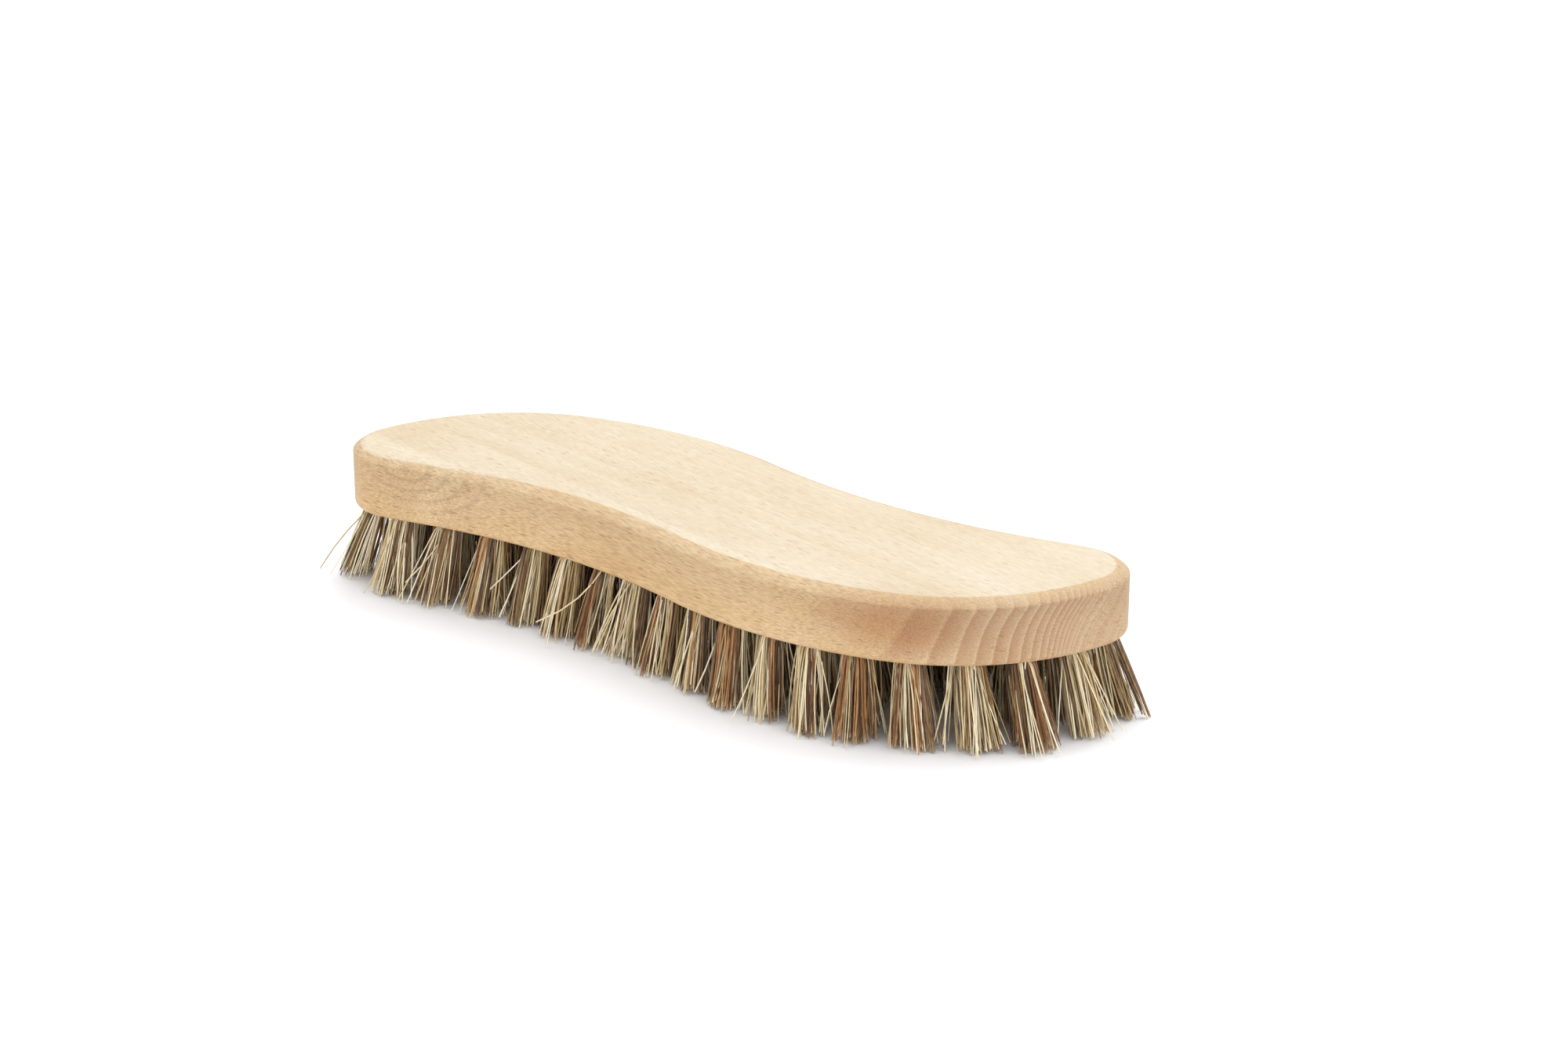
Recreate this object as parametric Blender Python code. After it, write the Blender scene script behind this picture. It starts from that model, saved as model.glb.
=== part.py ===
"""Scrubbing brush: an S-shaped beech block with union-fibre tufts set in blind holes.

Metres, +Z up. The brush stands on its bristle tips at z = 0, the long axis is X,
and the origin is under the middle of the S.
"""
import math

import bmesh
import bpy
from mathutils import Matrix, Vector
from mathutils.geometry import intersect_point_line

# Outline of the block, half of the S as arcs from the crossover on the near side
BULGE_RADIUS = 0.1225
BULGE_TURN = math.radians(30.4)
SHOULDER_RADIUS = 0.0631
SHOULDER_TURN = math.radians(59.0)
NOSE_RADIUS = 0.0155
NOSE_TURN = math.radians(109.9)
HEEL_RADIUS = 0.0513
HEEL_TURN = math.radians(9.1)
WAIST_RADIUS = 0.1922
CROSSOVER_HEADING = math.radians(-13.25)  # which way the outline runs where the S crosses over

# Section of the block
BLOCK_THICKNESS = 0.0181
TOP_BAND_INSET = 0.0037  # how far the rounded band runs in under the flat top
TOP_BAND_DROP = 0.0022   # how far it runs down the side
BAND_TURN = math.radians(28.0)  # how much the band rounds between its two edges
UNDER_EDGE_RADIUS = 0.0015

# Tufts and their holes
BRISTLE_LENGTH = 0.0240  # from the underside of the wood, before the tips are trimmed
TRIM_DEPTH = 0.0005      # cut off flat, so that the brush stands level
HOLE_RADIUS = 0.0030
HOLE_DEPTH = 0.0110
FIT_GAP = 0.0003         # between a root and the wall and end of its hole
RIM_LAND = 0.0023        # flat wood between an outer hole and the eased lower edge
OUTER_TUFTS = 36
MIDDLE_TUFTS = 10        # of each half of the ring, along the middle of the S
MIDDLE_PITCH = 0.01248
MIDDLE_START = -0.0578   # from the crossover to the first of them
OUTER_LEAN = 0.0044      # how far the tips of the outer tufts stand outwards
FAN_ALONG = 0.032        # all tips stand out along the brush by this share of their place on it
FAN_ACROSS = 0.10        # and the inner tips stand out across it
INNER_ROW_TUFTS = (12, 15, 12)
INNER_ROW_SPACING = 0.0122
ROW_END_SPACING = 0.0105  # from an end of an inner row to the path of the outer tufts
ROW_END_STEP = 0.0002     # how closely the end of a row is found
END_TUFTS = ((-0.0950, -0.0160), (-0.0820, -0.0135))  # past the left end of the near row
TUFTS_PER_SLICE = 3      # inner tufts that share one slice of backing
TIP_GAP = 0.0014         # between the tips of neighbouring tufts

# Strands in a tuft, and the slice of wood that joins the roots of a few inner tufts
STRANDS = 6
STRAND_SEAM = 0.00012    # each strand stands in from its share of the root by this much
STRAND_FLARE = 1.3
SLICE_WIDTH = 0.0012
SLICE_DEPTH = 0.0020
SLICE_RECESS = 0.0004    # from the underside up to the slice

# Faceting
STEP_ANGLE = math.radians(8.0)
STEP_LENGTH = 0.010
BAND_STEPS = 3
EASE_STEPS = 2
HOLE_SIDES = 12
SHARP_ANGLE = math.radians(35.0)
CUT_PAST = 0.0010        # how far a cutter runs out of the face that it cuts

WAIST_TURN = BULGE_TURN + SHOULDER_TURN + NOSE_TURN + HEEL_TURN - math.pi
UNDERSIDE = BRISTLE_LENGTH - TRIM_DEPTH
TOP = UNDERSIDE + BLOCK_THICKNESS
OUTER_INSET = UNDER_EDGE_RADIUS + RIM_LAND + HOLE_RADIUS
ROOT_RADIUS = HOLE_RADIUS * math.cos(math.pi / HOLE_SIDES) - FIT_GAP

# Each arc is a signed radius, negative where the outline is hollow, and its turn
HALF_OUTLINE = (
    (BULGE_RADIUS, BULGE_TURN),
    (SHOULDER_RADIUS, SHOULDER_TURN),
    (NOSE_RADIUS, NOSE_TURN),
    (HEEL_RADIUS, HEEL_TURN),
    (-WAIST_RADIUS, -WAIST_TURN),
)


def left_of(heading):
    """Unit vector to the left of a heading, which is into the block."""
    return Vector((-math.sin(heading), math.cos(heading)))


def along_arc(point, heading, radius, turn):
    """Where an arc ends that starts at a point and a heading."""
    centre = point + radius * left_of(heading)
    return centre - radius * left_of(heading + turn), heading + turn


def half_start():
    """First point of the half outline, so that the other half is its point reflection."""
    point = Vector((0.0, 0.0))
    heading = CROSSOVER_HEADING
    for radius, turn in HALF_OUTLINE:
        point, heading = along_arc(point, heading, radius, turn)
    return -0.5 * point


def outline():
    """Points and headings round the whole outline, counter-clockwise."""
    half = []
    point = half_start()
    heading = CROSSOVER_HEADING
    for radius, turn in HALF_OUTLINE:
        length = radius * turn
        steps = max(2, math.ceil(abs(turn) / STEP_ANGLE), math.ceil(length / STEP_LENGTH))
        for step in range(steps):
            half.append(along_arc(point, heading, radius, turn * step / steps))
        point, heading = along_arc(point, heading, radius, turn)
    return half + [(-p, h + math.pi) for p, h in half]


def loop_inside(points, inset):
    """The outline moved into the block by a distance."""
    return [p + inset * left_of(h) for p, h in points]


def outer_length():
    """Length of the path through the outer tufts, for half the outline."""
    return sum((radius - OUTER_INSET) * turn for radius, turn in HALF_OUTLINE)


def outer_station(distance):
    """Point on the outer tufts' path, and the heading there, at a distance along one half."""
    point = half_start()
    heading = CROSSOVER_HEADING
    for radius, turn in HALF_OUTLINE:
        length = (radius - OUTER_INSET) * turn
        if distance <= length:
            point, heading = along_arc(point, heading, radius, turn * distance / length)
            break
        distance -= length
        point, heading = along_arc(point, heading, radius, turn)
    return point + OUTER_INSET * left_of(heading), heading


def outer_tufts():
    """Root and lean of each outer tuft: closer in the middle of the S, wider round its ends."""
    half_length = outer_length()
    half_count = OUTER_TUFTS // 2
    middle_run = (MIDDLE_TUFTS - 1) * MIDDLE_PITCH
    end_pitch = (half_length - middle_run) / (half_count - MIDDLE_TUFTS + 1)
    distances = [MIDDLE_START + number * MIDDLE_PITCH for number in range(MIDDLE_TUFTS)]
    for number in range(1, half_count - MIDDLE_TUFTS + 1):
        distances.append(MIDDLE_START + middle_run + number * end_pitch)
    half = []
    for distance in sorted(distance % half_length for distance in distances):
        root, heading = outer_station(distance)
        fan = Vector((FAN_ALONG * root.x, 0.0))
        half.append((root, fan - OUTER_LEAN * left_of(heading)))
    return half + [(-root, -lean) for root, lean in half]


def row_spot(row, distance):
    """Point on an inner row, at a distance from the crossover along the middle line of the S."""
    row_radius = 0.5 * (BULGE_RADIUS + WAIST_RADIUS)
    side = 1.0 if distance >= 0.0 else -1.0
    offset = side * row * INNER_ROW_SPACING
    start = -offset * left_of(CROSSOVER_HEADING)
    angle = abs(distance) / row_radius
    spot, heading = along_arc(start, CROSSOVER_HEADING, row_radius + offset, angle)
    return side * spot


def distance_to(path, point):
    """Least distance from a point to a closed path."""
    least = math.inf
    for a, b in zip(path, path[1:] + path[:1]):
        near, share = intersect_point_line(point, a, b)
        near = a.lerp(b, min(1.0, max(0.0, share)))
        least = min(least, (near.xy - point).length)
    return least


def row_end(row, side, path):
    """Distance from the crossover to an end of a row, where it comes near the outer tufts."""
    distance = 0.0
    while distance_to(path, row_spot(row, side * distance)) > ROW_END_SPACING:
        distance += ROW_END_STEP
    return side * distance


def inner_tufts():
    """Rows of roots along the middle line of the S, and two more where each end is widest."""
    path = loop_inside(outline(), OUTER_INSET)
    rows = []
    for index, count in enumerate(INNER_ROW_TUFTS):
        row = index - len(INNER_ROW_TUFTS) // 2
        first = row_end(row, -1.0, path)
        last = row_end(row, 1.0, path)
        pitch = (last - first) / (count - 1)
        rows.append([row_spot(row, first + number * pitch) for number in range(count)])
    ends = [Vector(spot) for spot in END_TUFTS]
    rows[-1] = ends + rows[-1]
    rows[0] = rows[0] + [-spot for spot in reversed(ends)]
    return rows


def inner_lean(root):
    """Lean of an inner tuft, outwards from the middle of the brush."""
    return Vector((FAN_ALONG * root.x, FAN_ACROSS * root.y))


def slices(rows):
    """Inner roots in the groups that share a slice of backing."""
    groups = []
    for row in rows:
        for first in range(0, len(row), TUFTS_PER_SLICE):
            groups.append(row[first:first + TUFTS_PER_SLICE])
    return groups


def room(root, roots):
    """Half the way to the nearest other tuft, less the gap between their tips."""
    nearest = min((root - other).length for other in roots if other != root)
    return 0.5 * (nearest - TIP_GAP)


def material(name, colour, roughness):
    made = bpy.data.materials.new(name)
    made.use_nodes = True
    shader = made.node_tree.nodes["Principled BSDF"]
    shader.inputs["Base Color"].default_value = (*colour, 1.0)
    shader.inputs["Roughness"].default_value = roughness
    shader.inputs["Metallic"].default_value = 0.0
    return made


def add_object(name, bm, finish=None):
    """Turn a bmesh into a named object."""
    mesh = bpy.data.meshes.new(name)
    bm.to_mesh(mesh)
    bm.free()
    if finish:
        mesh.materials.append(finish)
    obj = bpy.data.objects.new(name, mesh)
    bpy.context.scene.collection.objects.link(obj)
    return obj


def add_cutter(name, bm):
    """A helper solid that isn't part of the brush."""
    obj = add_object(name, bm)
    obj.hide_render = True
    obj.display_type = "WIRE"
    return obj


def boolean(obj, other, operation):
    modifier = obj.modifiers.new(other.name, "BOOLEAN")
    modifier.operation = operation
    modifier.solver = "EXACT"
    modifier.object = other


def section():
    """Inset and height of each loop of the block, from the underside to the flat top."""
    loops = []
    for step in range(EASE_STEPS + 1):
        angle = 0.5 * math.pi * step / EASE_STEPS
        inset = UNDER_EDGE_RADIUS * (1.0 - math.sin(angle))
        loops.append((inset, UNDERSIDE + UNDER_EDGE_RADIUS * (1.0 - math.cos(angle))))
    chord = math.hypot(TOP_BAND_INSET, TOP_BAND_DROP)
    band_radius = chord / (2.0 * math.sin(0.5 * BAND_TURN))
    steepest = math.atan2(TOP_BAND_DROP, TOP_BAND_INSET) + 0.5 * BAND_TURN
    for step in range(BAND_STEPS + 1):
        slope = steepest - BAND_TURN * step / BAND_STEPS
        inset = band_radius * (math.sin(steepest) - math.sin(slope))
        rise = band_radius * (math.cos(slope) - math.cos(steepest))
        loops.append((inset, TOP - TOP_BAND_DROP + rise))
    return loops


def build_block(finish, roots, groups):
    """The S-shaped block, with a blind hole for each tuft and a slot for each slice."""
    points = outline()
    bm = bmesh.new()
    loops = []
    for inset, height in section():
        loops.append([bm.verts.new((p.x, p.y, height)) for p in loop_inside(points, inset)])
    count = len(points)
    for lower, upper in zip(loops, loops[1:]):
        for i in range(count):
            j = (i + 1) % count
            bm.faces.new((lower[i], lower[j], upper[j], upper[i]))
    bm.faces.new(list(reversed(loops[0])))
    bm.faces.new(loops[-1])
    block = add_object("beech_block", bm, finish)
    block.data.shade_smooth()
    block.data.set_sharp_from_angle(angle=SHARP_ANGLE)

    holes = bmesh.new()
    height = HOLE_DEPTH + CUT_PAST
    for root in roots:
        centre = Vector((root.x, root.y, UNDERSIDE - CUT_PAST + 0.5 * height))
        bmesh.ops.create_cone(
            holes, cap_ends=True, segments=HOLE_SIDES, radius1=HOLE_RADIUS, radius2=HOLE_RADIUS,
            depth=height, matrix=Matrix.Translation(centre),
        )
    boolean(block, add_cutter("tuft_holes", holes), "DIFFERENCE")

    slots = bmesh.new()
    slot_top = UNDERSIDE + SLICE_RECESS + SLICE_DEPTH + FIT_GAP
    for group in groups:
        add_bars(slots, group, SLICE_WIDTH + 2.0 * FIT_GAP, UNDERSIDE - CUT_PAST, slot_top)
    boolean(block, add_cutter("slice_slots", slots), "DIFFERENCE")
    return block


def add_bars(bm, roots, width, low, high):
    """Flat bars between neighbouring roots, each ending inside both of them."""
    for a, b in zip(roots, roots[1:]):
        way = b - a
        length = way.length - ROOT_RADIUS
        middle = 0.5 * (a + b)
        place = Matrix.Translation((middle.x, middle.y, 0.5 * (low + high)))
        turn = Matrix.Rotation(math.atan2(way.y, way.x), 4, "Z")
        size = Matrix.Diagonal((length, width, high - low, 1.0))
        bmesh.ops.create_cube(bm, size=1.0, matrix=place @ turn @ size)


def add_tuft(bm, root, lean, tip_radius, twist):
    """A root that fills its hole, and strands that splay from it down to z = 0."""
    corners = []
    for number in range(STRANDS):
        angle = twist + 2.0 * math.pi * number / STRANDS
        corners.append(root + ROOT_RADIUS * Vector((math.cos(angle), math.sin(angle))))
    root_top = UNDERSIDE + HOLE_DEPTH - FIT_GAP
    upper = [bm.verts.new((p.x, p.y, root_top)) for p in corners]
    lower = [bm.verts.new((p.x, p.y, UNDERSIDE)) for p in corners]
    middle = bm.verts.new((root.x, root.y, UNDERSIDE))
    bm.faces.new(upper)
    fan = []
    for i in range(STRANDS):
        j = (i + 1) % STRANDS
        bm.faces.new((lower[i], lower[j], upper[j], upper[i]))
        fan.append(bm.faces.new((lower[j], lower[i], middle)))

    bmesh.ops.inset_individual(bm, faces=fan, thickness=STRAND_SEAM, use_even_offset=True)
    centres = [face.calc_center_median().xy for face in fan]
    strand_radius = max((vert.co.xy - centres[0]).length for vert in fan[0].verts)
    centre_radius = (centres[0] - root).length
    splay = (tip_radius - STRAND_FLARE * strand_radius) / centre_radius
    tips = bmesh.ops.extrude_discrete_faces(bm, faces=fan)["faces"]
    for tip in tips:
        centre = tip.calc_center_median().xy
        tip_centre = root + lean + splay * (centre - root)
        for vert in tip.verts:
            spot = tip_centre + STRAND_FLARE * (vert.co.xy - centre)
            vert.co = (spot.x, spot.y, 0.0)


def build_tufts(finish, outer, groups, roots):
    """Outer tufts one by one, and inner tufts in the groups that share a slice."""
    golden = math.pi * (3.0 - math.sqrt(5.0))
    half_count = OUTER_TUFTS // 2
    for number, (root, lean) in enumerate(outer, 1):
        bm = bmesh.new()
        add_tuft(bm, root, lean, room(root, roots), golden * (number % half_count))
        add_object(f"outer_tuft_{number:02d}", bm, finish)

    slice_low = UNDERSIDE + SLICE_RECESS
    for number, group in enumerate(groups, 1):
        bm = bmesh.new()
        for place, root in enumerate(group):
            add_tuft(bm, root, inner_lean(root), room(root, roots), golden * (number + place))
        tufts = add_object(f"inner_tufts_{number:02d}", bm, finish)
        if len(group) > 1:
            bars = bmesh.new()
            add_bars(bars, group, SLICE_WIDTH, slice_low, slice_low + SLICE_DEPTH)
            boolean(tufts, add_cutter(f"slice_{number:02d}", bars), "UNION")


def main():
    for old in list(bpy.data.objects):
        bpy.data.objects.remove(old)
    beech = material("beech", (0.76, 0.55, 0.31), 0.6)
    union_fibre = material("union_fibre", (0.42, 0.31, 0.19), 0.5)

    outer = outer_tufts()
    rows = inner_tufts()
    groups = slices(rows)
    roots = [root for root, lean in outer] + [root for row in rows for root in row]
    build_block(beech, roots, groups)
    build_tufts(union_fibre, outer, groups, roots)


main()
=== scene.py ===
# Scrubbing brush as photographed: an S-shaped beech block with tufts of mixed plant fibre
import math
import random

import bmesh
import bpy
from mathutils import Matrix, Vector
from mathutils.geometry import intersect_point_line


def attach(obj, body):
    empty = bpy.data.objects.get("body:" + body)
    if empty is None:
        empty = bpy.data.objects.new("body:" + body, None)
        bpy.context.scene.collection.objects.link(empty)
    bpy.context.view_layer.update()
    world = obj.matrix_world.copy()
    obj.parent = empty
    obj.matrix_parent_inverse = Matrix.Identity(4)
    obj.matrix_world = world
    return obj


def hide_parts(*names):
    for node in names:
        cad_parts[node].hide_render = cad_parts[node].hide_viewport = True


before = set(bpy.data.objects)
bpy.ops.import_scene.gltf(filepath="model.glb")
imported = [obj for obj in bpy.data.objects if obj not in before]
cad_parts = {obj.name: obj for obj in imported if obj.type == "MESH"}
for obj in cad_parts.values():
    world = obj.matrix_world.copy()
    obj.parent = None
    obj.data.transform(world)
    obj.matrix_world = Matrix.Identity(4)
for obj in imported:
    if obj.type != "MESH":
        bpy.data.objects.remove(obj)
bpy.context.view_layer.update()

# Outline of the block in metres, half of the S as arcs from the crossover on the near side
BULGE_RADIUS = 0.1225
BULGE_TURN = math.radians(30.4)
SHOULDER_RADIUS = 0.0631
SHOULDER_TURN = math.radians(59.0)
NOSE_RADIUS = 0.0155
NOSE_TURN = math.radians(109.9)
HEEL_RADIUS = 0.0513
HEEL_TURN = math.radians(9.1)
WAIST_RADIUS = 0.1922
WAIST_TURN = BULGE_TURN + SHOULDER_TURN + NOSE_TURN + HEEL_TURN - math.pi
CROSSOVER_HEADING = math.radians(-13.25)

# Section of the block
UNDERSIDE = 0.0235
BLOCK_THICKNESS = 0.0181
TOP_BAND_INSET = 0.0037
TOP_BAND_DROP = 0.0022
BAND_TURN = math.radians(28.0)
UNDER_EDGE_RADIUS = 0.0015
SANDED_EDGE = 0.0003                    # sandpaper takes this much off the two edges of the band,
SANDED_ANGLE = math.radians(15.0)       # the only ones that turn more than this
FLAT_LAND = 0.0006                      # a rim of flat faces keeps the big flats evenly shaded
TOP = UNDERSIDE + BLOCK_THICKNESS

# Tufts and their holes
HOLE_RADIUS = 0.0030
HOLE_DEPTH = 0.0110
OUTER_INSET = 0.0068
OUTER_TUFTS = 36
MIDDLE_TUFTS = 10
MIDDLE_PITCH = 0.01248
MIDDLE_START = -0.0578
OUTER_LEAN = 0.0044
FAN_ALONG = 0.032
FAN_ACROSS = 0.10
INNER_ROW_TUFTS = (12, 15, 12)
INNER_ROW_SPACING = 0.0122
ROW_END_SPACING = 0.0105
ROW_END_STEP = 0.0002
END_TUFTS = ((-0.0950, -0.0160), (-0.0820, -0.0135))

# Fineness of the mesh
STEP_ANGLE = math.radians(2.0)
STEP_LENGTH = 0.003
BAND_STEPS = 6
EASE_STEPS = 8
HOLE_SIDES = 24
SHARP_ANGLE = math.radians(30.0)

# Each arc is a signed radius, negative where the outline is hollow, and its turn
HALF_OUTLINE = (
    (BULGE_RADIUS, BULGE_TURN),
    (SHOULDER_RADIUS, SHOULDER_TURN),
    (NOSE_RADIUS, NOSE_TURN),
    (HEEL_RADIUS, HEEL_TURN),
    (-WAIST_RADIUS, -WAIST_TURN),
)

# The sawn plank: the grain runs this way in plan, and the pith lay this far from the brush
GRAIN_TURN = math.radians(-8.8)
GRAIN_AXIS = (math.cos(GRAIN_TURN), math.sin(GRAIN_TURN), 0.0)
PITH = (0.0, 0.086, 0.004)
MM = 1000.0

# Growth rings, counted from the bark inwards by the distance from the pith in millimetres:
# RING_SUM / (distance - RING_START) down to INNER_WOOD, and INNER_RINGS_PER_MM from there on
INNER_WOOD = 72.0
RING_START = 50.0
RING_SUM = 400.0
INNER_RINGS_PER_MM = 0.6
RING_WAVE = 8.0                         # the noise that bends the rings, from lowest to highest
GIRTH_RADIUS = 90.0                     # a turn round the pith is measured as if this far from it

# A redder stain on the near side of the right end, and nested arcs at the left end, which show
# best round a point to the right of their centre and below it
STAIN_CENTRE = (0.079, -0.028, 0.0345)
STAIN_REACH = (0.030, 0.016, 0.010)
ARCS_CENTRE = (-0.0867, -0.0329, 0.0397)
ARCS_REACH = (0.0125, 0.030, 0.0062)
ARCS_IN_REACH = 2.1
ARCS_RAGGED = 0.35
ARCS_SHOW_BEST = (0.6, 0.0, -0.6)

# Spacing of the dashes that rays leave, in millimetres along the grain, outwards and round
FLECK_CELL = (5.5, 4.0, 0.44)
RAY_CELL = (1.6, 6.0, 0.50)
PALE_STREAK = 1.06                      # tone of the palest streaks in the wood

# Patches of tone on a strand, about 0.7 mm across and 4 mm along, as a count per metre
MOTTLE_PER_METRE = (1400, 1400, 260)
PLANT_IOR = 1.5


# Outline and stations

def left_of(heading):
    """Unit vector to the left of a heading, which is into the block."""
    return Vector((-math.sin(heading), math.cos(heading)))


def along_arc(point, heading, radius, turn):
    """Where an arc ends that starts at a point and a heading."""
    centre = point + radius * left_of(heading)
    return centre - radius * left_of(heading + turn), heading + turn


def half_start():
    """First point of the half outline, so that the other half is its point reflection."""
    point = Vector((0.0, 0.0))
    heading = CROSSOVER_HEADING
    for radius, turn in HALF_OUTLINE:
        point, heading = along_arc(point, heading, radius, turn)
    return -0.5 * point


def outline():
    """Points and headings round the whole outline, counter-clockwise."""
    half = []
    point = half_start()
    heading = CROSSOVER_HEADING
    for radius, turn in HALF_OUTLINE:
        length = radius * turn
        steps = max(2, math.ceil(abs(turn) / STEP_ANGLE), math.ceil(length / STEP_LENGTH))
        for step in range(steps):
            half.append(along_arc(point, heading, radius, turn * step / steps))
        point, heading = along_arc(point, heading, radius, turn)
    return half + [(-p, h + math.pi) for p, h in half]


def loop_inside(points, inset):
    """The outline moved into the block by a distance."""
    return [p + inset * left_of(h) for p, h in points]


def outer_length():
    """Length of the path through the outer tufts, for half the outline."""
    return sum((radius - OUTER_INSET) * turn for radius, turn in HALF_OUTLINE)


def outer_station(distance):
    """Point on the outer tufts' path, and the heading there, at a distance along one half."""
    point = half_start()
    heading = CROSSOVER_HEADING
    for radius, turn in HALF_OUTLINE:
        length = (radius - OUTER_INSET) * turn
        if distance <= length:
            point, heading = along_arc(point, heading, radius, turn * distance / length)
            break
        distance -= length
        point, heading = along_arc(point, heading, radius, turn)
    return point + OUTER_INSET * left_of(heading), heading


def outer_tufts():
    """Root and lean of each outer tuft: closer in the middle of the S, wider round its ends."""
    half_length = outer_length()
    half_count = OUTER_TUFTS // 2
    middle_run = (MIDDLE_TUFTS - 1) * MIDDLE_PITCH
    end_pitch = (half_length - middle_run) / (half_count - MIDDLE_TUFTS + 1)
    distances = [MIDDLE_START + number * MIDDLE_PITCH for number in range(MIDDLE_TUFTS)]
    for number in range(1, half_count - MIDDLE_TUFTS + 1):
        distances.append(MIDDLE_START + middle_run + number * end_pitch)
    half = []
    for distance in sorted(distance % half_length for distance in distances):
        root, heading = outer_station(distance)
        fan = Vector((FAN_ALONG * root.x, 0.0))
        half.append((root, fan - OUTER_LEAN * left_of(heading)))
    return half + [(-root, -lean) for root, lean in half]


def row_spot(row, distance):
    """Point on an inner row, at a distance from the crossover along the middle line of the S."""
    row_radius = 0.5 * (BULGE_RADIUS + WAIST_RADIUS)
    side = 1.0 if distance >= 0.0 else -1.0
    offset = side * row * INNER_ROW_SPACING
    start = -offset * left_of(CROSSOVER_HEADING)
    angle = abs(distance) / row_radius
    return side * along_arc(start, CROSSOVER_HEADING, row_radius + offset, angle)[0]


def distance_to(path, point):
    """Least distance from a point to a closed path."""
    least = math.inf
    for a, b in zip(path, path[1:] + path[:1]):
        share = intersect_point_line(point, a, b)[1]
        near = a.lerp(b, min(1.0, max(0.0, share)))
        least = min(least, (near - point).length)
    return least


def row_end(row, side, path):
    """Distance from the crossover to an end of a row, where it comes near the outer tufts."""
    distance = 0.0
    while distance_to(path, row_spot(row, side * distance)) > ROW_END_SPACING:
        distance += ROW_END_STEP
    return side * distance


def inner_tufts():
    """Root and lean of each inner tuft: three rows, and two more where each end is widest."""
    path = loop_inside(outline(), OUTER_INSET)
    ends = [Vector(spot) for spot in END_TUFTS]
    roots = ends + [-spot for spot in ends]
    for index, count in enumerate(INNER_ROW_TUFTS):
        row = index - len(INNER_ROW_TUFTS) // 2
        first = row_end(row, -1.0, path)
        last = row_end(row, 1.0, path)
        pitch = (last - first) / (count - 1)
        roots += [row_spot(row, first + number * pitch) for number in range(count)]
    return [(root, Vector((FAN_ALONG * root.x, FAN_ACROSS * root.y))) for root in roots]


# Node trees

def add_node(tree, kind, inputs=None, **settings):
    """Add a node. Inputs are values or nodes or sockets to link, by the socket's name or number."""
    made = tree.nodes.new(kind)
    for name, value in settings.items():
        setattr(made, name, value)
    for key, value in (inputs or {}).items():
        if isinstance(value, bpy.types.Node):
            value = next(socket for socket in value.outputs if socket.enabled)
        if isinstance(value, bpy.types.NodeSocket):
            tree.links.new(value, made.inputs[key])
        else:
            made.inputs[key].default_value = value
    return made


def maths(tree, operation, *values):
    """One step of arithmetic with numbers."""
    made = add_node(tree, "ShaderNodeMath", dict(enumerate(values)), operation=operation)
    return made.outputs["Value"]


def vector_maths(tree, operation, *values):
    """One step of arithmetic with vectors, which gives a vector, a length or a product."""
    made = add_node(tree, "ShaderNodeVectorMath", dict(enumerate(values)), operation=operation)
    return made.outputs["Value" if operation in ("LENGTH", "DOT_PRODUCT") else "Vector"]


def scaled(tree, vector, size):
    """A vector times a number."""
    made = add_node(
        tree, "ShaderNodeVectorMath", {0: vector, "Scale": size}, operation="SCALE"
    )
    return made.outputs["Vector"]


def mapped(tree, value, start, end, low, high, interpolation="LINEAR"):
    """A value moved from one range to another, and kept within it."""
    ranges = {"Value": value, "From Min": start, "From Max": end, "To Min": low, "To Max": high}
    made = add_node(tree, "ShaderNodeMapRange", ranges, interpolation_type=interpolation)
    return made.outputs["Result"]


def mixed(tree, share, first, second, blend="MIX"):
    """A colour with a share of a second colour mixed or multiplied in."""
    made = add_node(
        tree, "ShaderNodeMix", {"Factor": share, 6: first, 7: second},
        data_type="RGBA", blend_type=blend,
    )
    return made.outputs[2]


def noise(tree, place, scale, detail, roughness=0.5):
    """Noise with a scale of its own along each axis."""
    stretched = add_node(tree, "ShaderNodeMapping", {"Vector": place, "Scale": scale})
    return add_node(tree, "ShaderNodeTexNoise", {
        "Vector": stretched, "Scale": 1.0, "Detail": detail, "Roughness": roughness,
    })


def linear(hex_colour):
    """Linear colour from an sRGB hex value."""
    channels = [int(hex_colour[i:i + 2], 16) / 255.0 for i in (1, 3, 5)]
    return (*[c / 12.92 if c <= 0.04045 else ((c + 0.055) / 1.055) ** 2.4 for c in channels], 1.0)


def ramp(tree, value, stops):
    """Colour by a value, from stops that are each a place from 0 to 1 and an sRGB hex colour."""
    made = add_node(tree, "ShaderNodeValToRGB", {"Fac": value})
    elements = made.color_ramp.elements
    while len(elements) > 1:
        elements.remove(elements[-1])
    elements[0].position = stops[0][0]
    elements[0].color = linear(stops[0][1])
    for place, hex_colour in stops[1:]:
        elements.new(place).color = linear(hex_colour)
    return made.outputs["Color"]


def new_material(name):
    """An empty node material and its shader."""
    made = bpy.data.materials.new(name)
    made.use_nodes = True
    return made, made.node_tree.nodes["Principled BSDF"]


def new_tree(name, inputs):
    """A geometry tree with named inputs, each a socket type and a default value."""
    tree = bpy.data.node_groups.new(name, "GeometryNodeTree")
    tree.interface.new_socket("Geometry", in_out="INPUT", socket_type="NodeSocketGeometry")
    for label, (kind, value) in inputs.items():
        socket = tree.interface.new_socket(label, in_out="INPUT", socket_type=kind)
        if value is not None:
            socket.default_value = value
    tree.interface.new_socket("Geometry", in_out="OUTPUT", socket_type="NodeSocketGeometry")
    return tree, tree.nodes.new("NodeGroupInput").outputs


def finish_tree(tree, geometry, material):
    """End a geometry tree with plain geometry in its material."""
    whole = add_node(tree, "GeometryNodeRealizeInstances", {0: geometry})
    finished = add_node(
        tree, "GeometryNodeSetMaterial", {"Geometry": whole, "Material": material}
    )
    add_node(tree, "NodeGroupOutput", {"Geometry": finished})


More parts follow.
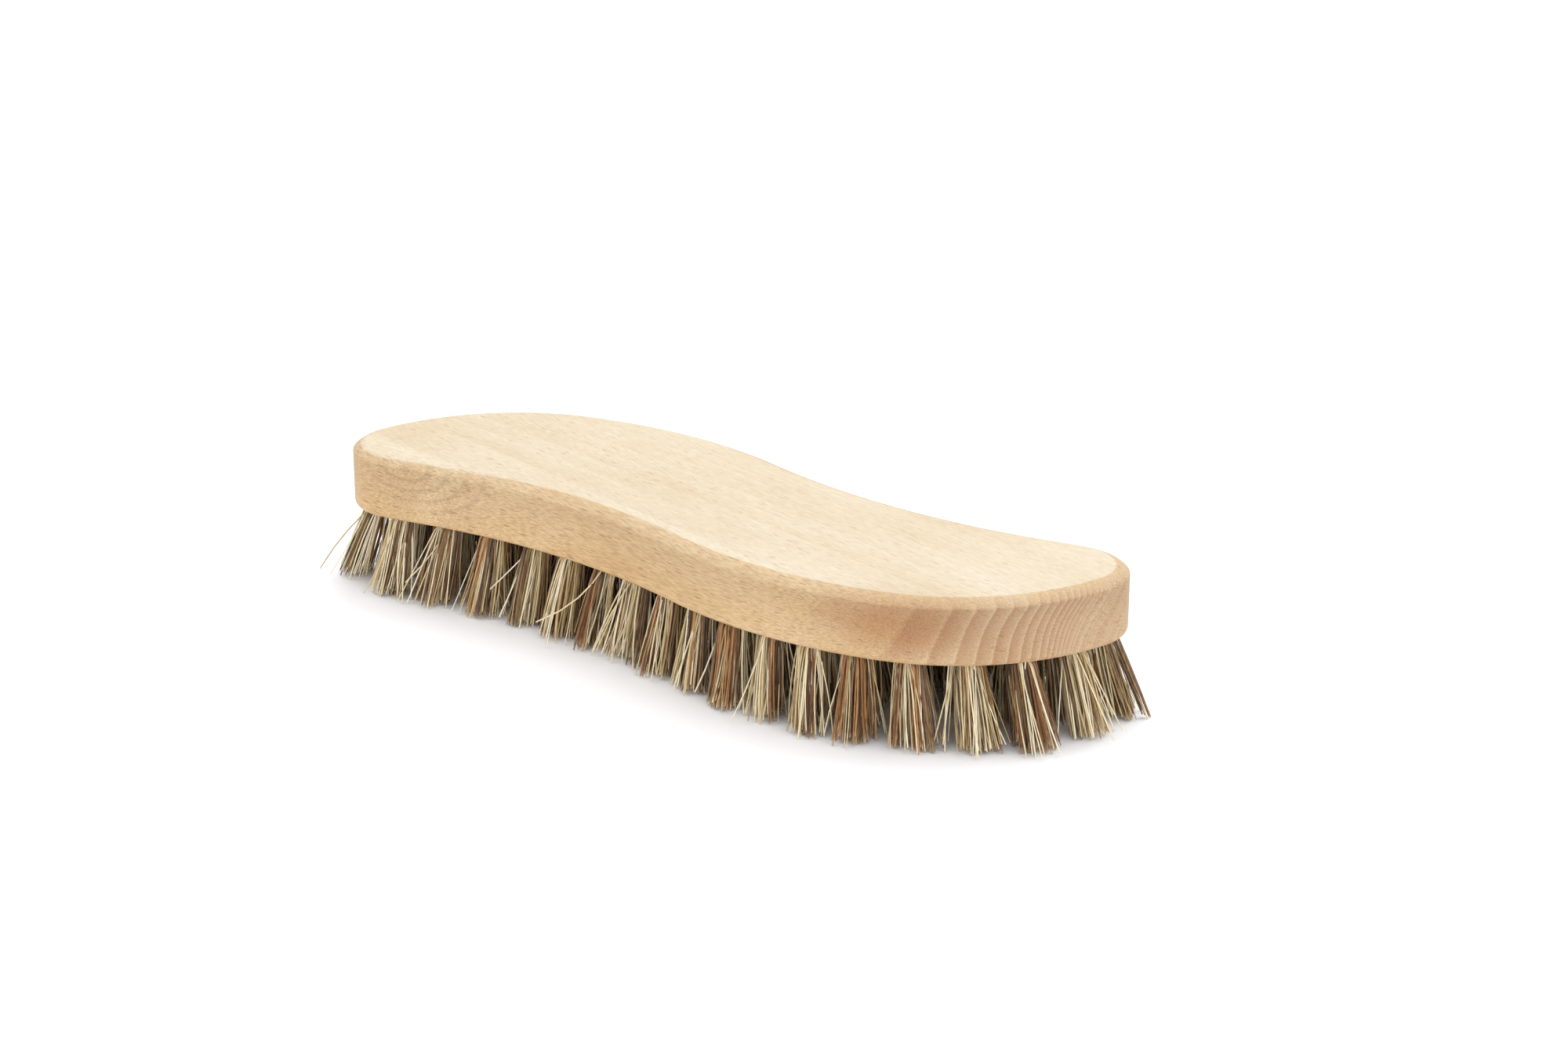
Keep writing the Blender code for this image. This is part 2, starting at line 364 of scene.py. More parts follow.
def run_tree(obj, tree, values):
    """Put a tree on an object, set its inputs by name, and return the plain mesh that it makes."""
    modifier = obj.modifiers.new(tree.name, "NODES")
    modifier.node_group = tree
    for item in tree.interface.items_tree:
        if item.in_out == "INPUT" and item.name in values:
            modifier[item.identifier] = values[item.name]
    evaluated = obj.evaluated_get(bpy.context.evaluated_depsgraph_get())
    mesh = bpy.data.meshes.new_from_object(evaluated)
    obj.modifiers.remove(modifier)
    return mesh


def add_object(name, mesh):
    """A new object in the scene."""
    obj = bpy.data.objects.new(name, mesh)
    bpy.context.scene.collection.objects.link(obj)
    return obj


# Materials

def place_in_trunk(tree, spot):
    """Where a spot lay in the trunk, and how far from the pith, in millimetres.

    The place is along the grain, outwards from the pith, and round it.
    """
    sawn = add_node(tree, "ShaderNodeMapping", {
        "Vector": spot, "Rotation": (0, 0, -GRAIN_TURN), "Scale": (MM, MM, MM),
        "Location": tuple(-MM * part for part in PITH),
    })
    # The rings bend in waves about 120 mm long and 30 mm across
    wave = noise(tree, sawn, (0.008, 0.035, 0.035), 0.0).outputs["Color"]
    wave = vector_maths(tree, "SUBTRACT", wave, (0.5, 0.5, 0.5))
    trunk = vector_maths(tree, "MULTIPLY_ADD", wave, (0.0, RING_WAVE, RING_WAVE), sawn)
    part = add_node(tree, "ShaderNodeSeparateXYZ", {0: trunk}).outputs
    across = add_node(tree, "ShaderNodeCombineXYZ", {"Y": part["Y"], "Z": part["Z"]})
    radius = vector_maths(tree, "LENGTH", across)
    bearing = maths(tree, "ARCTAN2", part["Z"], part["Y"])
    girth = maths(tree, "MULTIPLY", bearing, GIRTH_RADIUS)
    solid = add_node(tree, "ShaderNodeCombineXYZ", {"X": part["X"], "Y": radius, "Z": girth})
    return solid, radius


def growth_rings(tree, radius):
    """Colour of the growth rings, and the depth below the outer wood in millimetres.

    They are 5 mm wide in the outer wood, close up to 1.2 mm towards the right end, and are 1.7 mm
    wide and uneven in the inner wood. Each is a thin pale line, then brown where the year's growth
    ended, fading towards the next line.
    """
    outer_wood = maths(tree, "MAXIMUM", radius, INNER_WOOD)
    inner_wood = maths(tree, "SUBTRACT", outer_wood, radius)
    ring = maths(tree, "SUBTRACT", outer_wood, RING_START)
    ring = maths(tree, "DIVIDE", RING_SUM, ring)
    ring = maths(tree, "MULTIPLY_ADD", inner_wood, INNER_RINGS_PER_MM, ring)
    uneven = add_node(
        tree, "ShaderNodeTexNoise", {"W": ring, "Scale": 0.55, "Detail": 1.0},
        noise_dimensions="1D",
    )
    unevenness = mapped(tree, inner_wood, 0.0, 4.0, 0.0, 1.6)
    ring = maths(tree, "MULTIPLY_ADD", uneven, unevenness, ring)
    year = maths(tree, "FRACT", ring)
    rings = ramp(tree, year, [
        (0.0, "#FFFFFF"), (0.05, "#FFFDFA"), (0.15, "#E0C9BF"),
        (0.45, "#EADAD2"), (0.90, "#F7EEE9"), (1.0, "#FFFFFF"),
    ])
    return rings, inner_wood


def seen_from(tree, spot, centre, reach):
    """A place as seen from a centre, in shares of a reach along each axis."""
    away = vector_maths(tree, "SUBTRACT", spot, centre)
    return vector_maths(tree, "MULTIPLY", away, tuple(1 / side for side in reach))


def nested_arcs(tree, spot, streak, flat_top):
    """Share and tone of nested arcs on the wall, where the cut runs through a bump in the rings."""
    place = seen_from(tree, spot, ARCS_CENTRE, ARCS_REACH)
    distance = vector_maths(tree, "LENGTH", place)
    ragged = maths(tree, "MULTIPLY_ADD", streak, ARCS_RAGGED, -0.5 * ARCS_RAGGED)
    line = maths(tree, "MULTIPLY_ADD", distance, ARCS_IN_REACH, ragged)
    line = maths(tree, "FRACT", line)
    tone = mapped(tree, line, 0.0, 0.45, 0.76, 1.0)
    aside = vector_maths(tree, "SUBTRACT", place, ARCS_SHOW_BEST)
    aside = vector_maths(tree, "LENGTH", aside)
    share = mapped(tree, aside, 0.7, 2.0, 1.0, 0.0, "SMOOTHSTEP")
    on_wall = mapped(tree, flat_top, 0.0, 0.5, 1.0, 0.0)
    return maths(tree, "MULTIPLY", share, on_wall), tone


def dashes(tree, place, cell, core, rim, depth):
    """One soft dash in each cell: how strongly it shows, and a random colour of its own."""
    placed = add_node(tree, "ShaderNodeMapping", {
        "Vector": place, "Scale": tuple(1 / side for side in cell),
    })
    cells = add_node(tree, "ShaderNodeTexVoronoi", {"Vector": placed, "Scale": 1.0})
    shown = mapped(tree, cells.outputs["Distance"], core, rim, depth, 0.0, "SMOOTHSTEP")
    return shown, cells.outputs["Color"]


def connect(material, shader, colour, roughness):
    """Give a dry plant material its colour and roughness."""
    material.node_tree.links.new(colour, shader.inputs["Base Color"])
    material.node_tree.links.new(roughness, shader.inputs["Roughness"])
    shader.inputs["IOR"].default_value = PLANT_IOR


def beech_planed_and_sanded():
    """Unfinished European beech, planed flat on top, spindle-cut round the side and sanded.

    It gives a pale, even, slightly pink straw ground with a dry matt face. Rays show as short brown
    dashes along the grain, and the growth rings show where the cut crosses the grain at the ends.
    """
    made, shader = new_material("beech_planed_and_sanded")
    tree = made.node_tree
    coordinates = add_node(tree, "ShaderNodeTexCoord").outputs
    spot = coordinates["Object"]
    normal = coordinates["Normal"]
    solid, radius = place_in_trunk(tree, spot)
    rings, inner_wood = growth_rings(tree, radius)

    # How far the cut crosses the grain, from 0 along it to 1 on end grain, and how flat it lies
    crossing = vector_maths(tree, "DOT_PRODUCT", normal, GRAIN_AXIS)
    crossing = maths(tree, "ABSOLUTE", crossing)
    end_grain = mapped(tree, crossing, 0.20, 0.90, 0.0, 1.0, "SMOOTHSTEP")
    facing_up = add_node(tree, "ShaderNodeSeparateXYZ", {0: normal}).outputs["Z"]
    # Painted sheen: the band takes this share of the flat top's paler colour
    band_sheen_share = mapped(tree, facing_up, 0.30, 0.70, 0.0, 0.18)
    # Painted light: at the left end, where the band faces the light, the top's pale colour runs on
    # over the upper half of the band
    part = add_node(tree, "ShaderNodeSeparateXYZ", {0: spot}).outputs
    left_band_light = mapped(tree, part["X"], -0.070, -0.040, 0.09, 0.0)
    facing_up = maths(tree, "ADD", facing_up, left_band_light)
    flat_top = mapped(tree, facing_up, 0.962, 0.998, band_sheen_share, 1.0)

    # Ground colour: drifts of tone 60 mm long and 20 mm across, and along the grain streaks 3 mm
    # long and 0.2 to 0.4 mm across
    drift = noise(tree, solid, (0.016, 0.05, 0.05), 3.0)
    streak = noise(tree, solid, (0.30, 2.8, 5.6), 2.0, 0.6)
    side = ramp(tree, drift, [(0.30, "#C09F70"), (0.50, "#CAAD80"), (0.72, "#D2B991")])
    # The flat top's paler, greyer colour is painted sheen, the white room seen on it at a low angle
    top_with_sheen = ramp(tree, drift, [(0.30, "#CEBEA1"), (0.50, "#D2C6AC"), (0.72, "#D6CCB7")])
    end = ramp(tree, drift, [(0.30, "#BEA37E"), (0.55, "#C3AB88"), (0.75, "#C8B292")])
    colour = mixed(tree, end_grain, side, end)
    colour = mixed(tree, flat_top, colour, top_with_sheen)

    # A darker, redder stain in the heartwood, and nested arcs at the other end
    stain = vector_maths(tree, "LENGTH", seen_from(tree, spot, STAIN_CENTRE, STAIN_REACH))
    stain = mapped(tree, stain, 0.25, 1.1, 0.75, 0.0, "SMOOTHSTEP")
    colour = mixed(tree, stain, colour, linear("#E3C6AC"), "MULTIPLY")
    arc_share, arc_tone = nested_arcs(tree, spot, streak, flat_top)
    colour = mixed(tree, arc_share, colour, arc_tone, "MULTIPLY")

    # Painted light from the paper below: the wall is a little darker under the band than along its
    # lower edge
    wall_bounce_light = mapped(tree, part["Z"], 0.0240, 0.0375, 1.14, 0.95)
    colour = mixed(tree, 1.0, colour, wall_bounce_light, "MULTIPLY")

    # The dark streaks are browner as well as darker
    streak_depth = mapped(tree, flat_top, 0.0, 1.0, 0.80, 0.93)
    streak_tone = mapped(tree, streak, 0.34, 0.62, streak_depth, PALE_STREAK)
    colour = mixed(tree, 1.0, colour, streak_tone, "MULTIPLY")
    brown_share = maths(tree, "SUBTRACT", PALE_STREAK, streak_tone)
    colour = mixed(tree, brown_share, colour, linear("#E0A878"), "MULTIPLY")

    # Rings colour the ends strongly and the long faces faintly
    ring_share = mapped(tree, end_grain, 0.0, 1.0, 0.16, 1.0)
    ring_fade = mapped(tree, inner_wood, 0.0, 7.0, 1.0, 0.55)
    ring_share = maths(tree, "MULTIPLY", ring_share, ring_fade)
    colour = mixed(tree, ring_share, colour, rings, "MULTIPLY")

    # Rays cut lengthwise: thin brown dashes, about 2.5 mm long and 0.2 mm wide. Real ones are
    # often too fine to show, so these are drawn coarser
    fleck, fleck_draw = dashes(tree, solid, FLECK_CELL, 0.14, 0.30, 1.0)
    fleck_draw = add_node(tree, "ShaderNodeSeparateColor", {"Color": fleck_draw}).outputs["Red"]
    fleck_kept = mapped(tree, fleck_draw, 0.15, 0.90, 0.0, 1.0)
    fleck = maths(tree, "MULTIPLY", fleck, fleck_kept)
    fleck_depth = mapped(tree, flat_top, 0.0, 1.0, 0.80, 0.30)
    fleck_share = maths(tree, "MULTIPLY", fleck, fleck_depth)
    colour = mixed(tree, fleck_share, colour, linear("#8F6A42"))

    # Rays cut across: lines 2.5 mm long that run out from the pith, seen only on the ends
    ray = dashes(tree, solid, RAY_CELL, 0.12, 0.28, 0.42)[0]
    ray_share = maths(tree, "MULTIPLY", ray, end_grain)
    colour = mixed(tree, ray_share, colour, linear("#8F6440"))

    # Dry, sanded wood: matt, a little smoother in the streaks, with open pores too fine to feel
    matt = mapped(tree, streak, 0.30, 0.70, 0.52, 0.66)
    connect(made, shader, colour, matt)
    relief = maths(tree, "SUBTRACT", streak, fleck)
    bump = add_node(tree, "ShaderNodeBump", {
        "Strength": 0.35, "Distance": 0.00008, "Height": relief,
    })
    tree.links.new(bump.outputs["Normal"], shader.inputs["Normal"])
    return made


def dressed_fibre(name, stops, roughness):
    """Plant fibre, combed straight and cut to length: a dull satin strand, its tone its own.

    Strands differ from one another, and each is mottled along its length and paler at the cut end.
    """
    made, shader = new_material(name)
    tree = made.node_tree
    own_tone = add_node(tree, "ShaderNodeAttribute", attribute_name="tone").outputs["Fac"]
    along = add_node(tree, "ShaderNodeAttribute", attribute_name="along").outputs["Fac"]
    place = add_node(tree, "ShaderNodeTexCoord").outputs["Object"]
    mottle = noise(tree, place, MOTTLE_PER_METRE, 2.0)
    mottle_step = mapped(tree, mottle, 0.3, 0.7, -0.22, 0.22)
    tone = maths(tree, "ADD", own_tone, mottle_step)
    colour = ramp(tree, tone, stops)
    cut_end = mapped(tree, along, 0.93, 1.0, 0.0, 0.30)
    colour = mixed(tree, cut_end, colour, linear("#D9C8A4"))
    satin = mapped(tree, mottle, 0.3, 0.7, roughness - 0.07, roughness + 0.07)
    connect(made, shader, colour, satin)
    return made


def plain_paper():
    """Matt white background paper."""
    made, shader = new_material("background_paper_matt")
    shader.inputs["Base Color"].default_value = linear("#F3F4F7")
    shader.inputs["Roughness"].default_value = 0.9
    return made


# The block

def section():
    """Inset and height of each loop of the block, from the flat underside to the flat top."""
    loops = [(UNDER_EDGE_RADIUS + FLAT_LAND, UNDERSIDE)]
    for step in range(EASE_STEPS + 1):
        angle = 0.5 * math.pi * step / EASE_STEPS
        inset = UNDER_EDGE_RADIUS * (1.0 - math.sin(angle))
        loops.append((inset, UNDERSIDE + UNDER_EDGE_RADIUS * (1.0 - math.cos(angle))))
    chord = math.hypot(TOP_BAND_INSET, TOP_BAND_DROP)
    band_radius = chord / (2.0 * math.sin(0.5 * BAND_TURN))
    steepest = math.atan2(TOP_BAND_DROP, TOP_BAND_INSET) + 0.5 * BAND_TURN
    for step in range(BAND_STEPS + 1):
        slope = steepest - BAND_TURN * step / BAND_STEPS
        inset = band_radius * (math.sin(steepest) - math.sin(slope))
        rise = band_radius * (math.cos(slope) - math.cos(steepest))
        loops.append((inset, TOP - TOP_BAND_DROP + rise))
    loops.append((TOP_BAND_INSET + FLAT_LAND, TOP))
    return loops


def block_blank():
    """The S-shaped block before it is drilled."""
    points = outline()
    bm = bmesh.new()
    loops = []
    for inset, height in section():
        loops.append([bm.verts.new((p.x, p.y, height)) for p in loop_inside(points, inset)])
    count = len(points)
    for lower, upper in zip(loops, loops[1:]):
        for i in range(count):
            j = (i + 1) % count
            bm.faces.new((lower[i], lower[j], upper[j], upper[i]))
    bm.faces.new(list(reversed(loops[0])))
    bm.faces.new(loops[-1])
    mesh = bpy.data.meshes.new("beech_blank")
    bm.to_mesh(mesh)
    bm.free()
    return add_object("beech_blank", mesh)


def points_object(name, spots, attributes=()):
    """Loose points, each with named values."""
    mesh = bpy.data.meshes.new(name)
    mesh.from_pydata(spots, [], [])
    for label, kind, values in attributes:
        data = mesh.attributes.new(label, kind, "POINT").data
        for item, value in zip(data, values):
            if kind == "FLOAT_VECTOR":
                item.vector = value
            else:
                item.value = value
    return add_object(name, mesh)


def drilling_tree():
    """Geometry tree that drills a blind hole at each of an object's points."""
    tree, given = new_tree("drill_blind_holes", {
        "Hole places": ("NodeSocketObject", None),
        "Hole radius": ("NodeSocketFloat", 0.003),
        "Hole depth": ("NodeSocketFloat", 0.011),
        "Hole sides": ("NodeSocketInt", 24),
        "Wood": ("NodeSocketMaterial", None),
    })
    places = add_node(tree, "GeometryNodeObjectInfo", {"Object": given["Hole places"]})
    # The drill is twice as long as the hole is deep, so half of it stays out of the wood
    length = maths(tree, "MULTIPLY", given["Hole depth"], 2.0)
    drill = add_node(tree, "GeometryNodeMeshCylinder", {
        "Vertices": given["Hole sides"], "Radius": given["Hole radius"], "Depth": length,
    })
    drills = add_node(tree, "GeometryNodeInstanceOnPoints", {
        "Points": places.outputs["Geometry"], "Instance": drill,
    })
    real = add_node(tree, "GeometryNodeRealizeInstances", {0: drills})
    cut = add_node(
        tree, "GeometryNodeMeshBoolean", {"Mesh 1": given["Geometry"], "Mesh 2": real},
        operation="DIFFERENCE", solver="EXACT",
    )
    finish_tree(tree, cut, given["Wood"])
    return tree


def build_block(roots, wood):
    """The drilled block with its two crisp edges just broken by sandpaper."""
    blank = block_blank()
    edge = blank.modifiers.new("sanded_edge", "BEVEL")
    edge.width = SANDED_EDGE
    edge.segments = 2
    edge.limit_method = "ANGLE"
    edge.angle_limit = SANDED_ANGLE
    places = points_object("hole_places", [(r.x, r.y, UNDERSIDE) for r in roots])
    mesh = run_tree(blank, drilling_tree(), {
        "Hole places": places, "Hole radius": HOLE_RADIUS, "Hole depth": HOLE_DEPTH,
        "Hole sides": HOLE_SIDES, "Wood": wood,
    })
    bpy.data.objects.remove(places)
    bpy.data.objects.remove(blank)
    mesh.name = "brush_block"
    mesh.shade_smooth()
    mesh.set_sharp_from_angle(angle=SHARP_ANGLE)
    return add_object("brush_block", mesh)


# The tufts

FIBRE_KINDS = ("cream", "straw", "russet", "umber")

# How strands lie in their tuft, as shares
OWN_SIDE = 0.75            # a kind keeps to a side this far out from the middle of its tuft
STRAY_LEAST = 0.3          # each strand strays at least this share, and
STRAY_RISE = 1.3           # this much more, by the square of its draw
POINT_CROWDING = 1.5       # points lie closer near the hole, where the strand turns
BURST_LENGTH = 0.09        # in this first share of its length, a squeezed bundle
BURST_SHARE = 0.38         # opens by this share of its whole spread
TIP_TAPER = 0.86           # and a strand is this share as thick at its tip as at its root


def named(tree, label, kind="FLOAT"):
    """The values that the points carry under a name."""
    return add_node(tree, "GeometryNodeInputNamedAttribute", {"Name": label}, data_type=kind)


def keep(tree, geometry, label, value, kind="FLOAT"):
    """Let each point carry a value under a name."""
    return add_node(
        tree, "GeometryNodeStoreNamedAttribute",
        {"Geometry": geometry, "Name": label, "Value": value}, data_type=kind, domain="POINT",
    )


def drawn(tree, reach, owner, seed):
    """A random vector for each owner, within a reach to either side of zero."""
    return add_node(
        tree, "FunctionNodeRandomValue",
        {0: tuple(-part for part in reach), 1: reach, "ID": owner, "Seed": seed},
        data_type="FLOAT_VECTOR",
    )


def level_part(tree, parts):
    """The part of a vector that lies level."""
    return add_node(tree, "ShaderNodeCombineXYZ", {"X": parts["X"], "Y": parts["Y"]})


def strand_tree():
    """Geometry tree that draws the strands of one kind in every tuft, from the hole to the tip."""
    tree, given = new_tree("strands_from_holes", {
        "Kind": ("NodeSocketString", "straw"),
        "Root radius": ("NodeSocketFloat", 0.0029),
        "Sunk length": ("NodeSocketFloat", 0.004),
        "Free length": ("NodeSocketFloat", 0.0235),
        "Thin": ("NodeSocketFloat", 0.0002),
        "Thick": ("NodeSocketFloat", 0.0003),
        "Bend": ("NodeSocketFloat", 0.0008),
        "Wander": ("NodeSocketFloat", 0.0010),
        "Stray": ("NodeSocketFloat", 0.0006),
        "Ragged": ("NodeSocketFloat", 0.0030),
        "Clumping": ("NodeSocketFloat", 0.12),
        "Lock": ("NodeSocketInt", 3),
        "Lock size": ("NodeSocketFloat", 0.2),
        "Points": ("NodeSocketInt", 7),
        "Sides": ("NodeSocketInt", 4),
        "Seed": ("NodeSocketInt", 1),
        "Fibre": ("NodeSocketMaterial", None),
    })
    roots = add_node(
        tree, "GeometryNodeDuplicateElements",
        {"Geometry": given["Geometry"], "Amount": named(tree, given["Kind"], "INT")},
        domain="POINT",
    )

    # A few strands of a kind lie side by side as a lock
    index = add_node(tree, "GeometryNodeInputIndex")
    lock = add_node(
        tree, "FunctionNodeIntegerMath", {0: index, 1: given["Lock"]}, operation="DIVIDE_FLOOR"
    )

    # Draws: a place and a way for each lock, and a nudge, a tip and a shape for each strand
    draws = []
    for number, owner in enumerate((lock, index, index, index, lock)):
        seed = add_node(
            tree, "FunctionNodeIntegerMath", {0: given["Seed"], 1: number}, operation="ADD"
        )
        draw = drawn(tree, (1.0, 1.0, 1.0), owner, seed)
        draws.append(add_node(tree, "ShaderNodeSeparateXYZ", {0: draw}).outputs)
    place, nudge, tip, shape, lock_way = draws

    # Where a strand stands in its hole: evenly over the disc, but nearer to its kind's own side
    share = maths(tree, "ABSOLUTE", place["Y"])
    share = maths(tree, "SQRT", share)
    turn = maths(tree, "MULTIPLY", place["X"], math.pi)
    outward = add_node(tree, "ShaderNodeCombineXYZ", {"X": share})
    disc = add_node(
        tree, "ShaderNodeVectorRotate", {"Vector": outward, "Angle": turn},
        rotation_type="Z_AXIS",
    )
    aside = scaled(tree, level_part(tree, nudge), given["Lock size"])
    disc = vector_maths(tree, "ADD", aside, disc)
    own_side = drawn(tree, (OWN_SIDE, OWN_SIDE, 0.0), named(tree, "tuft", "INT"), given["Seed"])
    spot = add_node(
        tree, "ShaderNodeMix", {0: given["Clumping"], 4: disc, 5: own_side}, data_type="VECTOR"
    ).outputs[1]

    # Root of each strand, and the way from there to its tip
    here = add_node(tree, "GeometryNodeInputPosition")
    root = vector_maths(tree, "ADD", here, scaled(tree, spot, given["Root radius"]))
    fan = scaled(tree, spot, named(tree, "spread"))
    # Most strands keep near their lock, and a few stray far from it
    drift = level_part(tree, tip)
    far = vector_maths(tree, "DOT_PRODUCT", drift, drift)
    far = maths(tree, "MULTIPLY_ADD", far, STRAY_RISE, STRAY_LEAST)
    far = maths(tree, "MULTIPLY", far, given["Stray"])
    drift = scaled(tree, drift, far)
    lock_drift = scaled(tree, level_part(tree, lock_way), given["Wander"])
    drift = vector_maths(tree, "ADD", drift, lock_drift)
    short = maths(tree, "MULTIPLY", tip["Z"], tip["Z"])
    drop = maths(tree, "MULTIPLY", short, given["Ragged"])
    drop = maths(tree, "SUBTRACT", drop, given["Free length"])
    down = add_node(tree, "ShaderNodeCombineXYZ", {"Z": drop})
    way = vector_maths(tree, "ADD", drift, named(tree, "lean", "FLOAT_VECTOR"))
    way = vector_maths(tree, "ADD", way, down)
    bow = scaled(tree, level_part(tree, shape), given["Bend"])
    bow = vector_maths(tree, "ADD", bow, named(tree, "sag", "FLOAT_VECTOR"))
    girth = mapped(tree, shape["Z"], -1.0, 1.0, given["Thin"], given["Thick"])
    tone = mapped(tree, nudge["Z"], -1.0, 1.0, 0.0, 1.0)
    laid = roots
    for label, value in (("root", root), ("way", way), ("fan", fan), ("bow", bow)):
        laid = keep(tree, laid, label, value, "FLOAT_VECTOR")
    for label, value in (("girth", girth), ("tone", tone)):
        laid = keep(tree, laid, label, value)

    # A straight line on each root, bent to shape: the first step is inside the hole
    line = add_node(tree, "GeometryNodeCurvePrimitiveLine")
    line = add_node(
        tree, "GeometryNodeResampleCurve", {"Curve": line, "Count": given["Points"]}, mode="COUNT"
    )
    lines = add_node(tree, "GeometryNodeInstanceOnPoints", {"Points": laid, "Instance": line})
    lines = add_node(tree, "GeometryNodeRealizeInstances", {0: lines})
    station = add_node(tree, "GeometryNodeSplineParameter").outputs["Factor"]
    steps = maths(tree, "SUBTRACT", given["Points"], 1.0)
    rim = maths(tree, "DIVIDE", 1.0, steps)
    along = mapped(tree, station, rim, 1.0, 0.0, 1.0)
    along = maths(tree, "POWER", along, POINT_CROWDING)
    lines = keep(tree, lines, "along", along)
    inside = mapped(tree, station, 0.0, rim, given["Sunk length"], 0.0)
    lines = keep(tree, lines, "inside", inside)

    # Each point of a line goes to its share of the way, and aside by the bow and the fan
    along = named(tree, "along")
    rise = maths(tree, "MULTIPLY", 4.0, along)
    left = maths(tree, "SUBTRACT", 1.0, along)
    arch = maths(tree, "MULTIPLY", rise, left)
    bent = scaled(tree, named(tree, "bow", "FLOAT_VECTOR"), arch)
    burst = mapped(tree, along, 0.0, BURST_LENGTH, 0.0, BURST_SHARE)
    ease = maths(tree, "MULTIPLY_ADD", along, 1.0 - BURST_SHARE, burst)
    opened = scaled(tree, named(tree, "fan", "FLOAT_VECTOR"), ease)
    up = add_node(tree, "ShaderNodeCombineXYZ", {"Z": named(tree, "inside")})
    gone = scaled(tree, named(tree, "way", "FLOAT_VECTOR"), along)
    for part in (opened, bent, named(tree, "root", "FLOAT_VECTOR"), up):
        gone = vector_maths(tree, "ADD", gone, part)
    bent_lines = add_node(tree, "GeometryNodeSetPosition", {"Geometry": lines, "Position": gone})
    taper = mapped(tree, along, 0.0, 1.0, 1.0, TIP_TAPER)
    thickness = maths(tree, "MULTIPLY", named(tree, "girth"), taper)
    ring = add_node(
        tree, "GeometryNodeCurvePrimitiveCircle", {"Resolution": given["Sides"], "Radius": 1.0}
    )
    strands = add_node(tree, "GeometryNodeCurveToMesh", {
        "Curve": bent_lines, "Profile Curve": ring, "Scale": thickness, "Fill Caps": True,
    })
    smooth = add_node(tree, "GeometryNodeSetShadeSmooth", {"Geometry": strands})
    finish_tree(tree, smooth, given["Fibre"])
    return tree


# Shares of cream, straw and russet in the tufts along the near side, from the left end
NEAR_MIXES = (
    (0.34, 0.26, 0.20), (0.38, 0.22, 0.10), (0.28, 0.17, 0.33), (0.32, 0.25, 0.20),
    (0.35, 0.22, 0.08), (0.28, 0.22, 0.20), (0.35, 0.15, 0.28), (0.45, 0.30, 0.10),
    (0.30, 0.15, 0.22), (0.45, 0.18, 0.12), (0.38, 0.15, 0.15), (0.40, 0.32, 0.08),
    (0.35, 0.28, 0.17), (0.22, 0.10, 0.28), (0.30, 0.12, 0.28), (0.40, 0.22, 0.13),
    (0.30, 0.13, 0.25), (0.38, 0.40, 0.04), (0.33, 0.20, 0.07),
)
FIRST_NEAR_TUFT = 27                    # the tuft at the left end, by its number in the ring
# Lowest and highest share of each of the three in the other tufts
OTHER_MIXES = ((0.26, 0.42), (0.12, 0.24), (0.10, 0.26))

# Least and most strands in an outer or end tuft, and in a tuft of the three inner rows
OUTER_STRANDS = (150, 166)
INNER_STRANDS = (98, 112)

# How far a tuft opens from its root to its tips, how far its lean sways, and how far above the
# paper its longest strands end
OUTER_SPREAD = 0.0030
INNER_SPREAD = 0.0048
SPREAD_SHARES = (0.75, 1.1)
SWAY_ALONG = 0.0008
SWAY_ACROSS = 0.0006
TIP_CLEARANCE = 0.0002

# Where the random draws start, for the make-up of the tufts and for their sway
TUFT_SEED = 41
SWAY_SEED = 17

# Single strands that stand out: kind, root tuft, place in it, way to the tip, and bow, in metres
STRAYS = (
    ("straw", 27, (0.0020, -0.0008), (-0.0131, -0.0100, 0.0028), (-0.0004, -0.0003, 0.0010)),
    ("cream", 29, (-0.0012, -0.0020), (-0.0108, -0.0082, 0.0052), (0.0004, 0.0003, 0.0)),
    ("cream", 31, (-0.0015, -0.0020), (-0.0088, -0.0066, 0.0078), (0.0003, 0.0002, -0.0006)),
    ("cream", 33, (-0.0010, -0.0022), (-0.0116, -0.0090, 0.0080), (0.0012, 0.0006, -0.0016)),
    ("cream", 34, (-0.0015, -0.0018), (-0.0052, -0.0062, 0.0004), (0.0012, 0.0008, 0.0006)),
    ("cream", 7, (0.0014, -0.0020), (0.0064, 0.0010, 0.0030), (-0.0008, -0.0006, 0.0)),
    ("cream", 8, (0.0010, -0.0022), (0.0048, -0.0030, 0.0), (-0.0014, -0.0008, 0.0)),
    ("straw", 4, (0.0016, -0.0016), (0.0060, 0.0016, 0.0012), (-0.0006, 0.0, 0.0)),
)


